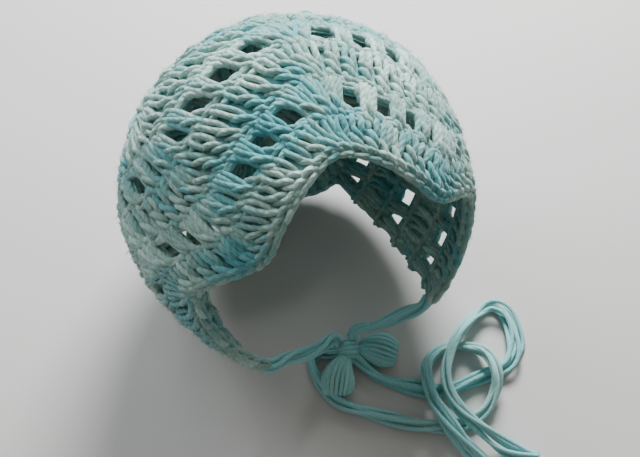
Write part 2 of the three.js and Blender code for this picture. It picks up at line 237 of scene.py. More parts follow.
class Yarn:
    """Gathers tubes of yarn and makes one mesh of them: a circle carried along many paths at once."""

    def __init__(self):
        self.points, self.faces, self.tones, self.maps, self.count = [], [], [], [], 0
        self.laid = []

    def tubes(self, paths, radius, tone, sides=FRONT_SIDES, normals=None):
        """Adds closed tubes: a circle of the radius, turned square to its path, at each ring of each path.

        paths is (tubes, rings, 3), and radius and tone are (tubes, rings). normals point up on the circle.
        """
        paths = np.asarray(paths, float)
        n, rings, _ = paths.shape
        radius = np.broadcast_to(np.asarray(radius, float), (n, rings))
        tone = np.broadcast_to(np.asarray(tone, float), (n, rings))
        along = unit(np.gradient(paths, axis=1))
        if normals is None:
            normals = unit(paths)
        side = np.cross(along, normals)
        for ring in range(1, rings):
            flip = (side[:, ring] * side[:, ring - 1]).sum(1) < 0
            side[flip, ring] *= -1
        side = unit(side)
        upward = np.cross(side, along)
        if sides == FRONT_SIDES:
            self.laid.append((paths, radius, along, side, upward, tone))
        turn = 2 * np.pi * np.arange(sides) / sides
        circle = side[:, :, None] * np.cos(turn)[:, None] + upward[:, :, None] * np.sin(turn)[:, None]
        body = paths[:, :, None] + circle * radius[:, :, None, None]
        start = self.count + np.arange(n)[:, None] * (rings * sides + 2)
        ring_at = np.arange(rings - 1)[:, None] * sides
        i = np.arange(sides)[None, :]
        nxt = (i + 1) % sides
        quads = np.stack([ring_at + i, ring_at + nxt, ring_at + sides + nxt, ring_at + sides + i], -1)
        quads = quads.reshape(-1, 4)[None] + start[:, :, None]
        end = (rings - 1) * sides
        caps = np.concatenate([
            np.stack([np.full(sides, rings * sides), nxt[0], i[0]], -1),
            np.stack([np.full(sides, rings * sides + 1), end + i[0], end + nxt[0]], -1),
        ])
        caps = caps[None] + start[:, :, None]
        length = length_along(paths) + (np.arange(n)[:, None] * STRAND_OFFSET) % 100
        tips = np.stack([
            paths[:, 0] - along[:, 0] * radius[:, 0, None] * 0.5,
            paths[:, -1] + along[:, -1] * radius[:, -1, None] * 0.5,
        ], axis=1)
        self.points.append(np.concatenate([body.reshape(n, -1, 3), tips], axis=1).reshape(-1, 3))
        self.faces.append((quads.reshape(-1, 4), caps.reshape(-1, 3)))
        self.tones.append(self.per_point(tone, sides))
        u = self.per_point(length, sides)
        v = np.concatenate([np.tile(np.arange(sides) / sides, (n, rings)), np.zeros((n, 2))], axis=1)
        self.maps.append(np.stack([u, v.ravel()], -1))
        self.count += n * (rings * sides + 2)

    def per_point(self, values, sides):
        """Spreads a value of each ring to its points, and of the first and last ring to the tips."""
        rings = np.repeat(values, sides, axis=1)
        return np.concatenate([rings, values[:, :1], values[:, -1:]], axis=1).ravel()

    def fuzz(self, rng, count):
        """Adds fine fibres to the front tubes laid so far.

        Each goes straight out from the surface, and leans and curls by a power of the share of its length.
        """
        share = count / sum(len(laid[0]) for laid in self.laid)
        steps = np.linspace(0, 1, 4)[None, :, None]
        for paths, radius, along, side, upward, tone in list(self.laid):
            n, rings, _ = paths.shape
            many = int(round(n * share))
            at = rng.integers(0, n, many), rng.integers(1, rings - 1, many)
            angle = rng.uniform(0.15, 0.85, many)[:, None] * np.pi
            out = side[at] * np.cos(angle) + upward[at] * np.sin(angle)
            root = paths[at] + out * radius[at][:, None] * 0.9
            reach = rng.uniform(*FIBRE_REACH, many)[:, None]
            lean = along[at] * rng.normal(0, 1.1, (many, 1))
            lean = lean + np.cross(along[at], out) * rng.normal(0, 0.6, (many, 1))
            curl = rng.normal(0, 0.35, (many, 3))
            path = root[:, None] + steps * (out * reach)[:, None] + (steps**1.6) * lean[:, None]
            path = path + (steps**2.4) * curl[:, None]
            self.tubes(path, FIBRE_RADII[None], tone[at][:, None], sides=FIBRE_SIDES)

    def sheet(self, points, tone, keep):
        """Adds a thin closed sheet: two layers of cells and a wall round each edge.

        points is (2, rows, columns, 3), outer then inner, and keep marks the cells that are there.
        """
        _, rows, columns, _ = points.shape
        index = self.count + np.arange(2 * rows * columns).reshape(2, rows, columns)
        faces = []

        def quad(a, b, c, d):
            faces.append(np.stack([a, b, c, d], -1).reshape(-1, 4))

        for layer, order in ((0, 1), (1, -1)):
            at = index[layer]
            corner = [at[:-1, :-1], at[:-1, 1:], at[1:, 1:], at[1:, :-1]]
            quad(*[c[keep] for c in corner[::order]])
        padded = np.zeros((rows + 1, columns + 1), bool)
        padded[1:-1, 1:-1] = keep
        for down, across, a, b in (
            (-1, 0, (0, 0), (0, 1)), (0, 1, (0, 1), (1, 1)), (1, 0, (1, 1), (1, 0)), (0, -1, (1, 0), (0, 0)),
        ):
            beside = padded[1 + down:rows + down, 1 + across:columns + across]
            r, c = np.nonzero(keep & ~beside)
            p, q = (r + a[0], c + a[1]), (r + b[0], c + b[1])
            quad(index[0][p], index[1][p], index[1][q], index[0][q])
        self.points.append(points.reshape(-1, 3))
        self.faces.append((np.concatenate(faces), np.zeros((0, 3), int)))
        self.tones.append(np.broadcast_to(tone, points.shape[:3]).ravel())
        flat = points.reshape(-1, 3)
        self.maps.append(np.stack([flat[:, 0], flat[:, 1] * 0.1], -1))
        self.count += len(flat)

    def mesh(self, name, material):
        """Makes the Blender object, in metres, without points that no face uses.

        Each point has the yarn's tone, and the UV map "yarn" has the length along it and the turn round it.
        """
        points = np.concatenate(self.points)
        points[:, 2] -= SEAT
        quads = np.concatenate([f[0] for f in self.faces])
        tris = np.concatenate([f[1] for f in self.faces])
        corners = np.concatenate([quads.ravel(), tris.ravel()])
        used = np.zeros(len(points), bool)
        used[corners] = True
        renumbered = np.cumsum(used) - 1
        mesh = bpy.data.meshes.new(name)
        mesh.vertices.add(int(used.sum()))
        mesh.vertices.foreach_set("co", (points[used] / 1000).astype(np.float32).ravel())
        mesh.loops.add(len(corners))
        mesh.loops.foreach_set("vertex_index", renumbered[corners].astype(np.int32))
        starts = np.concatenate([np.arange(len(quads)) * 4, len(quads) * 4 + np.arange(len(tris)) * 3])
        starts = starts.astype(np.int32)
        mesh.polygons.add(len(starts))
        mesh.polygons.foreach_set("loop_start", starts)
        mesh.polygons.foreach_set("use_smooth", np.ones(len(starts), bool))
        mesh.update(calc_edges=True)
        tone = mesh.attributes.new("tone", "FLOAT", "POINT")
        tone.data.foreach_set("value", np.concatenate(self.tones)[used].astype(np.float32))
        layer = mesh.uv_layers.new(name="yarn")
        layer.data.foreach_set("uv", np.concatenate(self.maps)[corners].astype(np.float32).ravel())
        obj = bpy.data.objects.new(name, mesh)
        bpy.context.scene.collection.objects.link(obj)
        mesh.materials.append(material)
        return obj


class Socket:
    """A shader socket that can be used in expressions."""

    def __init__(self, nodes, socket):
        self.nodes, self.socket = nodes, socket

    def _math(self, operation, *values):
        return self.nodes.add("ShaderNodeMath", {"operation": operation}, dict(enumerate(values)))

    def __add__(self, other):
        return self._math("ADD", self, other)

    def __sub__(self, other):
        return self._math("SUBTRACT", self, other)

    def __mul__(self, other):
        return self._math("MULTIPLY", self, other)

    def __rsub__(self, other):
        return self._math("SUBTRACT", other, self)

    __radd__, __rmul__ = __add__, __mul__

    def sin(self):
        return self._math("SINE", self)


class Nodes:
    """Builds a material's nodes from their types, settings and inputs."""

    def __init__(self, name):
        self.material = bpy.data.materials.new(name)
        self.material.use_nodes = True
        self.tree = self.material.node_tree
        self.tree.nodes.clear()

    def add(self, kind, settings=None, inputs=None, output=0):
        """Adds a node and gives one of its outputs; an input is a Socket or a constant."""
        node = self.tree.nodes.new(kind)
        for key, value in (settings or {}).items():
            if key == "stops":
                ramp = node.color_ramp
                while len(ramp.elements) < len(value):
                    ramp.elements.new(1)
                for element, (position, colour) in zip(ramp.elements, value):
                    element.position = position
                    element.color = (*colour, 1)
            else:
                setattr(node, key, value)
        for key, value in (inputs or {}).items():
            socket = node.inputs[key]
            if isinstance(value, Socket):
                self.tree.links.new(value.socket, socket)
            else:
                socket.default_value = value
        return Socket(self, node.outputs[output]) if len(node.outputs) else None


# How far the ties' loose strands are washed out, and toward which colour.
TIE_PALENESS = 0.55
WASHED_OUT = (0.42, 0.88, 0.88)


def yarn_material(name, settings, pale=0.0):
    """Soft plied yarn: dyed tone along its length, a slow mottle, spun ridges and fine fibres, with painted
    shade that darkens the colour in the low grooves between the ridges and fibres.
    """
    nodes = Nodes(name)
    dyes = (settings.mint, settings.grey_green, settings.aqua, settings.teal)
    stops = []
    for position, dye in zip((0.0, 0.34, 0.62, 1.0), dyes):
        stops.append((position, tuple(c + (washed - c) * pale for c, washed in zip(dye, WASHED_OUT))))
    tone = nodes.add("ShaderNodeAttribute", {"attribute_name": "tone"}, output=2)
    place = nodes.add("ShaderNodeTexCoord", output=3)
    length_turn = nodes.add("ShaderNodeUVMap", {"uv_map": "yarn"})
    mottle = nodes.add("ShaderNodeTexNoise", inputs={
        "Vector": place, "Scale": 420, "Detail": 3, "Roughness": 0.6})
    colour = nodes.add("ShaderNodeValToRGB", {"stops": stops}, {"Fac": tone + (mottle - 0.5) * 0.55})
    along = nodes.add("ShaderNodeSeparateXYZ", inputs={"Vector": length_turn})
    around = Socket(nodes, along.socket.node.outputs[1])
    ply = (around * (2 * math.pi * settings.plies) + along * settings.twist).sin()
    stretched = nodes.add("ShaderNodeMapping", inputs={"Vector": length_turn, "Scale": (1.2, 22, 1)})
    fibre = nodes.add("ShaderNodeTexNoise", inputs={
        "Vector": stretched, "Scale": 1.6, "Detail": 4, "Roughness": 0.7})
    height = ply * (0.4 - 0.5 * pale) + fibre
    bump = nodes.add("ShaderNodeBump", inputs={"Height": height, "Strength": 0.55, "Distance": 0.0005})
    # Fibre streaks that also darken the colour where the ply ridges and fibres of the bump lie low: partly
    # the yarn's own streaks, partly painted shade in the grooves.
    streaks_and_groove_shade = nodes.add("ShaderNodeValToRGB", {
        "stops": [(0.3, (0.40, 0.46, 0.46)), (0.66, (1.06, 1.06, 1.06))]}, {"Fac": fibre + ply * 0.09})
    shade = nodes.add("ShaderNodeMix", {"data_type": "RGBA", "blend_type": "MULTIPLY"}, {
        "Factor": 0.42 - 0.3 * pale, 6: colour, 7: streaks_and_groove_shade}, output=2)
    surface = nodes.add("ShaderNodeBsdfPrincipled", inputs={
        "Base Color": shade, "Roughness": 0.88, "Sheen Weight": 0.6, "Sheen Roughness": 0.4,
        "Sheen Tint": (0.85, 0.95, 0.95, 1), "Specular IOR Level": 0.25, "Normal": bump,
    })
    nodes.add("ShaderNodeOutputMaterial", inputs={"Surface": surface})
    return nodes.material


def floor_material(colour):
    """A plain pale matt surface."""
    nodes = Nodes("floor_paper")
    place = nodes.add("ShaderNodeTexCoord", output=3)
    grain = nodes.add("ShaderNodeTexNoise", inputs={"Vector": place, "Scale": 900, "Detail": 2})
    tint = nodes.add("ShaderNodeMix", {"data_type": "RGBA"}, {
        "Factor": grain, 6: (*colour, 1), 7: (*[c * 0.97 for c in colour], 1)}, output=2)
    surface = nodes.add("ShaderNodeBsdfPrincipled", inputs={
        "Base Color": tint, "Roughness": 0.7, "Specular IOR Level": 0.2})
    nodes.add("ShaderNodeOutputMaterial", inputs={"Surface": surface})
    return nodes.material


# Dyed stretches of the yarn: column, row, reach in columns and in rows, and depth of teal.
DYED = np.array([
    [-3, 1.6, 4.5, 0.9, 0.9], [1, 0.8, 2.2, 0.7, 0.9], [-7.5, 1.6, 2.5, 0.7, 0.7], [-1.5, 2.2, 5, 0.5, 0.55],
    [9, 0.4, 3.5, 0.9, 0.8], [6, 1.8, 3, 0.7, 0.35], [3, 4.2, 5, 0.6, 0.5], [-3, 5.2, 5, 0.8, 0.55],
    [-11, 0.5, 4, 0.7, 0.75], [-10, 3.4, 3, 1.0, 0.6], [-14, 4.2, 4, 0.7, 0.6], [-19, 0.7, 5, 0.8, 0.75],
    [-20, 3, 3, 1.2, 0.5], [15, 2.6, 4, 1.0, 0.6], [19, 0.8, 5, 1.2, 0.7], [22, 4, 4, 1.2, 0.55],
    [9, 5, 4, 1, 0.45], [-7, 3.8, 3, 0.6, 0.4],
])
# Stretches where the yarn is greyer and darker than the pale mint between them.
GREYED = np.array([
    [-8.5, 0.5, 2.5, 0.9, 0.3], [-12, 2.2, 4, 1.4, 0.34], [-6, 2.8, 4, 0.8, 0.2], [-17, 1.6, 4, 1.5, 0.32],
    [-22, 1, 4, 2, 0.3], [14, 1.0, 5, 1.6, 0.3], [18, 3.4, 6, 1.4, 0.25], [-18, 5, 5, 1.2, 0.28],
])


def tone_of(column, row, chance):
    """The yarn's tone at a place: 0 pale mint, about 0.35 grey-green, 1 deep teal."""
    column, row = np.broadcast_arrays(column, row)
    tone = 0.26 + 0.12 * np.sin(column * 0.9 + row * 2.1) + 0.1 * np.sin(column * 0.37 - row * 1.3)
    for table in (GREYED, DYED):
        for at, level, wide, deep, depth in table:
            near = np.exp(-(((column - at) / wide) ** 2) - ((row - level) / deep) ** 2)
            tone = np.maximum(tone, depth * near ** 0.8)
    return np.clip(tone + chance, 0, 1)


def in_hundredths(*strands):
    """Strands as an array of their points, which are given in hundredths."""
    return np.array(strands) / 100


# A stitch's strands: across the post in mm, share of its height, and lift from the middle of the wall in mm.
LOOSE_POST = in_hundredths(
    [(-50, -20, -90), (-100, -8, 75), (-125, 12, 135), (-95, 38, 115), (-10, 66, 90), (70, 90, -20)],
    [(80, -20, -90), (75, -7, 70), (95, 10, 130), (115, 32, 120), (100, 56, 70), (30, 76, -40)],
    [(-150, 36, -40), (-135, 46, 90), (-45, 60, 160), (70, 76, 160), (135, 90, 95), (150, 100, -30)],
    [(-170, 66, -50), (-150, 76, 55), (-90, 86, 115), (-20, 96, 110), (30, 104, 40), (50, 108, -40)],
)
# A tighter stitch, which shows as a V with three turns of yarn over it, or two on the crown.
TIGHT_POST = in_hundredths(
    [(-20, -20, -90), (-70, -10, 70), (-130, 4, 140), (-140, 20, 140), (-90, 36, 80), (-40, 46, -30)],
    [(40, -20, -90), (70, -9, 60), (120, 4, 120), (140, 22, 130), (130, 42, 90), (100, 54, -30)],
    [(-150, 24, -50), (-135, 32, 90), (-50, 44, 175), (70, 58, 165), (135, 68, 80), (150, 74, -40)],
    [(-150, 50, -50), (-130, 58, 90), (-40, 70, 165), (80, 84, 150), (145, 94, 70), (160, 100, -40)],
    [(-150, 76, -50), (-130, 83, 60), (-80, 92, 110), (-10, 100, 100), (40, 106, 30), (60, 110, -40)],
)
BACK_STRANDS = in_hundredths(
    [(-100, -6, 20), (-130, 12, -85), (-70, 40, -120), (30, 66, -115), (100, 88, -85), (130, 102, 20)],
    [(120, -6, 20), (140, 14, -90), (90, 40, -115), (120, 64, -110), (190, 86, -80), (220, 100, 20)],
)
# An eyelet row's wide post, narrower at half height so that the eyelets between them are lens-shaped.
WIDE_POST = in_hundredths(
    [(-270, -16, -80), (-280, -4, 80), (-240, 20, 120), (-210, 48, 110), (-220, 78, 80), (-240, 100, -30)],
    [(-80, -20, -90), (-80, -8, 80), (-70, 16, 160), (0, 42, 160), (70, 70, 125), (90, 98, -30)],
    [(80, -20, -90), (90, -6, 80), (90, 14, 150), (50, 40, 110), (-30, 60, 60), (-80, 80, -60)],
    [(270, -16, -80), (270, -4, 80), (230, 20, 120), (210, 48, 110), (230, 78, 80), (250, 100, -30)],
    [(-190, 36, -60), (-160, 46, 110), (-50, 58, 190), (80, 72, 185), (180, 88, 110), (210, 100, -40)],
    [(-200, 70, -60), (-170, 78, 90), (-100, 88, 150), (-20, 98, 140), (50, 106, 60), (80, 110, -40)],
)
WIDE_BACK = in_hundredths(
    [(-160, -2, 20), (-150, 16, -90), (-100, 40, -120), (-90, 66, -115), (-130, 88, -85), (-160, 102, 20)],
    [(160, -2, 20), (140, 16, -90), (90, 40, -120), (90, 66, -115), (140, 88, -85), (170, 102, 20)],
)
# Slack strands that round off an eyelet's corners, beside the post before it and the post after it.
CORNERS = in_hundredths(
    [(240, 62, 20), (310, 72, 80), (390, 82, 100), (470, 90, 90), (540, 98, 40), (580, 104, -40)],
    [(-250, 42, 20), (-310, 30, 80), (-380, 20, 100), (-460, 10, 90), (-520, 2, 40), (-560, -6, -40)],
)
# Links of a row's chain: along the row and across it in mm, and lift.
EDGE_LINKS = in_hundredths(
    [(-100, 100, -40), (10, 135, 70), (220, 145, 130), (430, 105, 110), (580, 30, 40), (660, -10, -50)],
    [(-100, -60, -50), (10, -105, 40), (220, -120, 105), (430, -90, 100), (580, -30, 40), (660, 10, -50)],
)
UNDER_LINK = in_hundredths(
    [(-60, 50, 0), (60, 90, -90), (260, 90, -115), (440, 50, -100), (560, 10, -60), (640, 0, 10)],
)
# Loops that close an eyelet's two ends.
EYELET_HEAD = in_hundredths(
    [(-80, 140, -30), (30, 210, 35), (220, 250, 70), (400, 240, 60), (540, 190, 10), (620, 130, -40)],
)
EYELET_SILL = in_hundredths(
    [(-80, -120, -30), (30, -180, 40), (220, -210, 80), (400, -200, 70), (540, -160, 20), (620, -110, -40)],
)
# How much further across and higher the chain lies on the face edge than on the other rows.
FACE_STRETCH = np.array([(1, 1.15, 1), (1, 1.1, 1)])[:, None]
FACE_RISE = np.array([(0, 0, 0.5), (0, 0, 0.1)])[:, None]
FACE_ROW = 0.08
LINK_RUN = 5.0
WIDTH_STEP = 0.25


def solid_posts():
    """A solid row's posts, as columns of feet and tops: three meet in a valley and three fan at a tip."""
    feet, tops = [], []
    for column in range(-END_COLUMN, END_COLUMN + 1):
        side, at = (1 if column >= 0 else -1), abs(column)
        if at in (0, 16):
            spread = (-1, 0, 1)
            feet += [side * (at + s) for s in spread]
            tops += [side * (at + 0.33 * s) for s in spread]
        elif at in (8, 9, 10):
            feet.append(side * (9 + 0.25 * (at - 9)))
            tops.append(side * at)
        elif at == END_COLUMN:
            feet.append(side * (at - 0.35))
            tops.append(side * (at - 0.35))
        elif at == 24:
            feet.append(side * 24.4)
            tops.append(side * 23.8)
        else:
            step = -1 if 9 < at < 16 else 1
            feet.append(side * (at + step))
            tops.append(side * at)
    return np.array(feet, float), np.array(tops, float)


# The posts of half an eyelet row: feet and tops, with the eyelets between them.
EYELET_FEET = np.array([
    0.0, 1.45, 3.4, 5.4, 7.4, 8.8, 9.25, 10.6, 12.6, 14.6, 16.0, 17.4, 19.4, 21.4, 23.4, 24.6,
])
EYELET_TOPS = np.array([
    0.0, 0.5, 2.55, 4.55, 6.55, 8.4, 9.6, 11.45, 13.45, 15.5, 16.0, 16.5, 18.5, 20.5, 22.5, 24.6,
])
ROW_SEED = 100
STITCH_SLANT = 0.35
STEADY_COLUMN = 22
# How unevenly the points of a post's and of a link's strands lie: across, along and in lift.
POST_WAVER = (0.2, 0.014, 0.13)
LINK_WAVER = (0.12, 0.08, 0.08)
# How uneven the strands of posts and of links are in thickness, and all strands in tone.
POST_UNEVEN = 0.07
LINK_UNEVEN = 0.05
TONE_UNEVEN = 0.11
POINTS = 6
# The highest share of its row that a strand reaches: in most rows and at the face edge.
POST_TOP = 1.2
FACE_TOP = 0.98
# How likely a post is a tight one, on the wearer's right and left; and how wide a solid row's stitches are.
TIGHT_CHANCE = (0.35, 0.75)
SOLID_WIDTH = 1.2
# An eyelet row's two sides: whether it is the left, how wide its posts are, and how far its loops reach.
EYELET_SIDES = ((False, 1.0, 1.0), (True, 0.85, 1.35))
# The share of a post over which a strand's end is bent back, and how much thicker the hidden strands are.
BEND = 0.2
HIDDEN_SWELL = 1.1
# The backing's outer and inner face, as lift in mm, and its lines for each post and its levels in a row.
BACKING_LIFTS = (-0.1, -0.6)
BACKING_LINES = 5
BACKING_LEVELS = np.array([0, 0.09, 0.18, 0.3, 0.42, 0.55, 0.68, 0.8, 0.9, 1])
EYELET_GAP = 1.5


def eyelet_posts():
    """The posts of an eyelet row on both sides of the middle."""
    feet = np.concatenate([-EYELET_FEET[:0:-1], EYELET_FEET])
    tops = np.concatenate([-EYELET_TOPS[:0:-1], EYELET_TOPS])
    return feet, tops


class Worker:
    """Works stitches onto a surface: maps each strand's table to the surface and adds it as tubes."""

    def __init__(self, surface, per_column, tone, rng, radius, yarn):
        self.surface, self.per_column, self.tone = surface, per_column, tone
        self.rng, self.radius, self.yarn = rng, radius, yarn

    def strand(self, strand, n, sides, waver):
        """The paths of n strands of one kind: splines through its points, each moved a little."""
        shape = strand + self.rng.normal(0, 1, (n, POINTS, 3)) * waver
        return np.einsum("rc,ncd->nrd", spline_weights(POINTS, STRAND_RINGS[sides]), shape)

    def lay(self, points, size, column, level, tone, sides):
        """Adds strands as tubes, full in the middle and a little slimmer where they dive in."""
        t = np.linspace(0, 1, STRAND_RINGS[sides])
        radius = self.radius * size * (0.68 + 0.4 * np.sin(np.pi * t) ** 0.8)
        chance = tone + self.rng.normal(0, TONE_UNEVEN, (len(points), 1))
        self.yarn.tubes(points, radius, self.tone(column, level, chance), sides)

    def posts(self, feet, tops, row, strands, width=1.0, top=POST_TOP, sides=FRONT_SIDES):
        """Strands up each post: a spline through the strand's points, carried from the foot to the top.

        Row numbers fall from foot to top, and a strand that would pass top is bent back under it.
        """
        n = len(feet)
        sway = self.rng.normal(0, 0.32, (n, 1))
        turn = self.rng.normal(0, 0.45, (n, 1))
        grow = self.rng.normal(1, 0.06, (n, 1))
        shift = self.rng.normal(0, 0.03, (n, 1))
        dip = self.rng.normal(0, 0.07, (n, 1))
        for strand in strands:
            path = self.strand(strand, n, sides, POST_WAVER)
            share = path[..., 1] * grow + shift
            past = share - (top - BEND)
            share = np.where(past > 0, top - BEND * np.exp(-past / BEND), share)
            path[..., 0] += sway + turn * (share - 0.5)
            column = feet[:, None] + (tops - feet)[:, None] * share
            level = row - share
            across = path[..., 0] * width / self.per_column(column, level)
            points = self.surface(column + across, level, path[..., 2])
            size = self.rng.normal(1, POST_UNEVEN, (n, 1)) * (HIDDEN_SWELL if sides < FRONT_SIDES else 1)
            self.lay(points, size, column, level, dip, sides)

    def links(self, columns, row, strands, lift=0.0, scale=1.0, sides=FRONT_SIDES):
        """Chain links along a row's edge, each strand running on into the next link."""
        n = len(columns)
        for strand in strands:
            path = self.strand(strand, n, sides, LINK_WAVER)
            column = columns[:, None] + path[..., 0] / LINK_RUN
            level = row + path[..., 1] * scale / ROW_DEPTH
            points = self.surface(column, level, path[..., 2] + lift)
            size = self.rng.normal(1, LINK_UNEVEN, (n, 1))
            self.lay(points, size, column, level, 0, sides)


def column_width(column, row, surface=on_fabric):
    """How wide a column of the surface is there, in mm."""
    a, b = (surface(column + step, row, 0) for step in (-WIDTH_STEP, WIDTH_STEP))
    return np.linalg.norm(b - a, axis=-1) / (2 * WIDTH_STEP)


def row_of_stitches(row, settings, material):
    """One row of the fabric: its posts, the chain along its outer edge, and a thin backing in a deeper tone,
    which paints shade into the gaps between the strands.
    """
    rng = np.random.default_rng(ROW_SEED + row)
    worker = Worker(on_fabric, column_width, tone_of, rng, settings.strand / 2, Yarn())
    eyelets = row % 2 == 0
    feet, tops = eyelet_posts() if eyelets else solid_posts()
    slant = STITCH_SLANT * (1 - smooth(np.abs(tops), STEADY_COLUMN, END_COLUMN))
    columns = np.arange(-END_COLUMN, END_COLUMN).astype(float)
    tops = tops + slant
    if eyelets:
        for left, wide, close in EYELET_SIDES:
            chosen = (feet > 0) == left
            worker.posts(feet[chosen], tops[chosen], row, WIDE_POST, width=wide)
            worker.posts(feet[chosen], tops[chosen], row, WIDE_BACK, width=wide, sides=HIDDEN_SIDES)
            inner = chosen & (np.abs(tops) < STEADY_COLUMN)
            worker.posts(feet[inner], tops[inner], row, CORNERS, width=wide, sides=HIDDEN_SIDES)
            along = columns[(columns >= 0) == left]
            worker.links(along, row - 1, EYELET_HEAD, scale=close)
            worker.links(along, row, EYELET_SILL, scale=close)
    else:
        top = FACE_TOP if row == 1 else POST_TOP
        tight = rng.random(len(feet)) < np.where(feet > 0, TIGHT_CHANCE[1], TIGHT_CHANCE[0])
        for chosen, strands in ((tight, TIGHT_POST), (~tight, LOOSE_POST)):
            worker.posts(feet[chosen], tops[chosen], row, strands, width=SOLID_WIDTH, top=top)
        worker.posts(feet, tops, row, BACK_STRANDS, top=top, sides=HIDDEN_SIDES)
    if row == 1:
        worker.links(columns, FACE_ROW, EDGE_LINKS * FACE_STRETCH + FACE_RISE)
    else:
        worker.links(columns, row - 1, EDGE_LINKS, -0.25)
    worker.links(columns, row - 1, UNDER_LINK, sides=HIDDEN_SIDES)
    painted_shade_backing(worker, row, feet, tops, eyelets)
    worker.yarn.fuzz(rng, settings.fibres)
    return worker.yarn.mesh(f"row_{row}_{'eyelets' if eyelets else 'solid'}", material)


def painted_shade_backing(worker, row, feet, tops, eyelets):
    """A thin layer between the front and back strands, ruled from the posts' feet to their tops.

    It keeps a solid row from being seen through, and is open at the eyelets. Its tone is 0.3 deeper than the
    yarn's, which paints shade into the gaps between the strands.
    """
    order = np.argsort(tops)
    feet, tops = feet[order], tops[order]
    lines = np.linspace(0, len(tops) - 1, (len(tops) - 1) * BACKING_LINES + 1)
    top = np.interp(lines, np.arange(len(tops)), tops)
    foot = np.interp(lines, np.arange(len(feet)), np.maximum.accumulate(feet))
    share = BACKING_LEVELS[:, None]
    column = foot[None] + (top - foot)[None] * share
    level = row - share + np.zeros_like(column)
    points = np.stack([on_fabric(column, level, lift) for lift in BACKING_LIFTS])
    keep = np.ones((len(BACKING_LEVELS) - 1, len(lines) - 1), bool)
    if eyelets:
        for i in range(len(tops) - 1):
            if tops[i + 1] - tops[i] > EYELET_GAP:
                first, last = (2, 7) if tops[i] < 0 else (3, 6)
                line = i * BACKING_LINES
                keep[first:last, line + 1:line + 4] = False
    # A tone 0.3 deeper than the yarn's: painted shade in the gaps between the strands.
    worker.yarn.sheet(points[:, ::-1], tone_of(column, level, 0.3)[None, ::-1], keep[::-1])


ROUND_STITCHES = (64, 48, 32, 18)
CROWN_SEED = 7
# The backing's cells round the crown and from its middle to its rim, and its tone, a deep teal that paints
# shade into the gaps between the strands.
CROWN_CELLS = (128, 12)
CROWN_BACKING_SHADE_TONE = 0.7
# How near its middle the crown's points go, and the narrowest column that its stitches are fitted to, in mm.
CROWN_HOLE = 0.02
NARROWEST = 0.9


def crown_stitches(settings, material):
    """The crown in rounds: each round's posts stand on the smaller round inside it."""
    rng = np.random.default_rng(CROWN_SEED)
    yarn = Yarn()
    rounds = len(ROUND_STITCHES)
    for number, count in enumerate(ROUND_STITCHES):
        outer = 1 - number / rounds
        inner = 1 - (number + 1) / rounds

        def surface(column, level, lift, outer=outer, inner=inner):
            """A point of this round: level 0 is its outer edge and 1 its inner one."""
            share = outer + (inner - outer) * level
            return on_crown(column, np.maximum(share, CROWN_HOLE), lift)

        def width(column, level, outer=outer, inner=inner):
            share = np.maximum(outer + (inner - outer) * level, 0.05)
            return np.maximum(column_width(column, share, on_crown), NARROWEST)

        def tone(column, level, chance, number=number):
            at = (column + END_COLUMN) % WHOLE_TURN - END_COLUMN
            deeper = 0.16 + 0.12 * np.sin(at * 0.35 + number * 1.9)
            return tone_of(at, LAST_ROW + 0.5 + number + 0 * level, chance + deeper)

        worker = Worker(surface, width, tone, rng, settings.strand / 2, yarn)
        columns = np.arange(count) * WHOLE_TURN / count
        for first, strands in ((0, TIGHT_POST[:4]), (1, LOOSE_POST)):
            chosen = columns[first::2]
            worker.posts(chosen, chosen, 1.0, strands)
        worker.posts(columns, columns, 1.0, BACK_STRANDS, sides=HIDDEN_SIDES)
        worker.links(columns, 0.0, EDGE_LINKS * (WHOLE_TURN / count, 1, 1), sides=HIDDEN_SIDES)
    across, down = CROWN_CELLS
    turns = np.linspace(0, WHOLE_TURN, across + 1)
    shares = np.linspace(CROWN_HOLE, 1, down + 1)[::-1]
    grid = np.stack([on_crown(turns[None], shares[:, None], lift) for lift in BACKING_LIFTS])
    # The backing is a deep teal: painted shade in the gaps between the crown's strands.
    yarn.sheet(grid, CROWN_BACKING_SHADE_TONE, np.ones((down, across), bool))
    yarn.fuzz(rng, settings.fibres // 2)
    return yarn.mesh("crown_stitches", material)


# Routes of the free tails as in the frame: across, along and level (0 on the table, 1 over another stretch).
TAIL_RIGHT = [
    (-1.8, -40.2, 0.3), (-5.6, -38.6, 0), (-10.2, -36.6, 0), (-13.8, -38.8, 0), (-14.6, -43.5, 0),
    (-13.8, -49, 0), (-10.8, -56.2, 0), (-5.5, -62.4, 0), (1.5, -68.2, 0), (10.5, -74.6, 0), (20, -80, 0),
    (30, -82.2, 0), (39, -80.6, 0), (45, -75.5, 0.5), (47.5, -69, 1), (47.6, -62, 0.8),
    (44.6, -56.4, 0.1), (38.5, -53, 0), (31.5, -53, 0), (25.6, -56.6, 0.5), (22.6, -63.5, 1),
    (21.8, -71, 0.8), (22.6, -78.5, 1), (24, -86, 1), (26.4, -93.5, 0.4), (29.5, -100, 0),
]
TAIL_LEFT = [
    (1.2, -42.6, 0.3), (3.2, -46.2, 0), (5.6, -51.6, 0), (10.5, -57.8, 0), (17, -62.6, 0), (24, -66, 0),
    (32, -68.2, 0), (40, -68.4, 0), (47.5, -68, 0), (55, -66.8, 0), (60.5, -61.8, 0), (62.8, -54.5, 0),
    (62.4, -47.5, 0), (58.2, -43.4, 0), (52, -44.6, 0), (45.5, -48, 0.6), (38.5, -52.6, 1),
    (33, -58.5, 0.9), (29, -66, 1), (28.2, -73.5, 1), (29.6, -80.5, 1), (32.6, -87, 1),
    (37.4, -93.6, 0.4), (43.5, -100, 0), (48.5, -104.5, 0),
]
